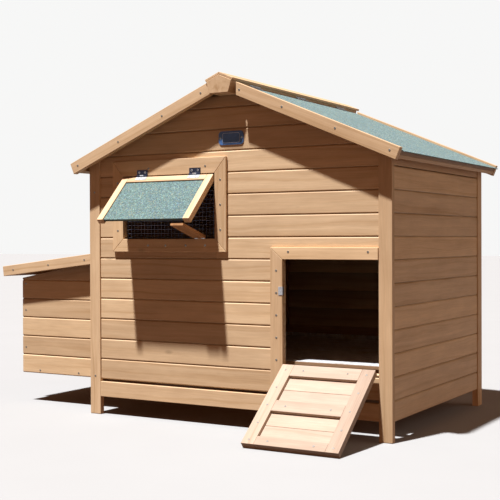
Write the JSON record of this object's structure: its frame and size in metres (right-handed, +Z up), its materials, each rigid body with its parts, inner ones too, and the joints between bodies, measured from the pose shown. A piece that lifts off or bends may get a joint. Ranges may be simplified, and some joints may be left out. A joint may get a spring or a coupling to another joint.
{
  "type": "chicken coop",
  "caption": "Raised timber hen house with a pitched felted roof, side nest box with lifting lid, drop-down ramp door and top-hung propped window shutter.",
  "frame": {"origin": "on the ground under the middle of the whole coop's box, with the ramp down and the nest box on the left", "axes": "+X along the front from the nest box to the door, +Y from the front to the back, +Z up"},
  "size_m": [1.5176, 1.08, 1.0407],
  "materials": {
    "felt": "mineral-faced roofing felt, matt, speckled",
    "felt_panel": "mineral-faced roofing felt on thin board, matt",
    "zinc_hardware": "zinc plated, dull",
    "screw_steel": "zinc plated screw heads",
    "galvanised_mesh": "galvanised welded mesh",
    "galvanised_sheet": "galvanised sheet, spangled",
    "plate_paint": "blue-grey paint, satin",
    "plywood": "plain plywood",
    "frame_timber": "rough sawn softwood, stained",
    "planed_timber": "planed softwood, stained honey",
    "wall_boards": "planed softwood, stained honey"
  },
  "bodies": {
    "house": {"front_posts": "planed_timber", "back_posts": "planed_timber", "front_wall_boards": "wall_boards", "back_wall_boards": "wall_boards", "left_wall_boards": "wall_boards", "right_wall_boards": "wall_boards", "side_top_rails": "planed_timber", "base_rails": "planed_timber", "wall_battens": "frame_timber", "floor_bearers": "frame_timber", "floor_panel": "plywood", "perch": "frame_timber", "window_trim": "planed_timber", "window_mesh": "galvanised_mesh", "door_trim": "planed_timber", "name_plate": "plate_paint", "ridge_beam": "planed_timber", "ridge_cap": "planed_timber", "roof_left_deck": "plywood", "roof_left_felt": "felt", "roof_left_barges": "planed_timber", "roof_left_fascia": "frame_timber", "roof_left_rafters": "frame_timber", "nest_side_boards": "wall_boards", "nest_end_boards": "wall_boards", "nest_battens": "frame_timber", "nest_floor": "plywood", "nest_divider": "plywood", "shutter_hinge_fixed": "zinc_hardware", "prop_hinge_fixed": "zinc_hardware", "ramp_hinge_fixed": "zinc_hardware", "lid_hinge_fixed": "zinc_hardware", "roof_hinge_fixed": "zinc_hardware", "bolt_keeper": "zinc_hardware", "house_screws": "screw_steel"},
    "roof_right": {"roof_right_deck": "plywood", "roof_right_felt": "felt", "roof_right_barges": "planed_timber", "roof_right_fascia": "frame_timber", "roof_right_rafters": "frame_timber", "roof_hinge_moving": "zinc_hardware", "roof_right_screws": "screw_steel"},
    "nest_lid": {"lid_deck": "plywood", "lid_felt": "felt", "lid_frame": "planed_timber", "lid_hinge_moving": "zinc_hardware", "lid_screws": "screw_steel"},
    "ramp": {"ramp_stiles": "planed_timber", "ramp_rails": "planed_timber", "ramp_boards": "wall_boards", "ramp_hinge_moving": "zinc_hardware", "bolt_plate": "zinc_hardware", "ramp_screws": "screw_steel"},
    "bolt": {"bolt_rod": "zinc_hardware"},
    "shutter": {"shutter_frame": "planed_timber", "shutter_panel": "felt_panel", "shutter_hinge_moving": "zinc_hardware"},
    "prop": {"shutter_prop": "planed_timber"},
    "tray": {"dropping_tray": "galvanised_sheet"}
  },
  "joints": [
    {"name": "ramp_hinge", "type": "hinge", "parent": "house", "child": "ramp", "pos_m": [0.52321, -0.28833, 0.1851], "axis": [-1, 0, 0], "range_deg": [0, 128.11]},
    {"name": "bolt_slide", "type": "slide", "parent": "ramp", "child": "bolt", "axis": [-1, 0, 0], "range_m": [0, 0.014]},
    {"name": "shutter_hinge", "type": "hinge", "parent": "house", "child": "shutter", "pos_m": [-0.02179, -0.29733, 0.75072], "axis": [1, 0, 0], "range_deg": [0, 45]},
    {"name": "prop_hinge", "type": "hinge", "parent": "house", "child": "prop", "pos_m": [0.09721, -0.29733, 0.55886], "axis": [1, 0, 0], "range_deg": [0, 107.11]},
    {"name": "roof_right_hinge", "type": "hinge", "parent": "house", "child": "roof_right", "pos_m": [0.24221, 0.09447, 1.00324], "axis": [0, -1, 0], "range_deg": [0, 95]},
    {"name": "nest_lid_hinge", "type": "hinge", "parent": "house", "child": "nest_lid", "pos_m": [-0.32659, 0.09397, 0.51492], "axis": [0, 1, 0], "range_deg": [0, 78]},
    {"name": "tray_slide", "type": "slide", "parent": "house", "child": "tray", "axis": [0, 1, 0], "range_m": [0, 0.65]}
  ],
  "couplings": [
    {"joint": "prop_hinge", "follows": "shutter_hinge", "ratio": 2.3801}
  ]
}
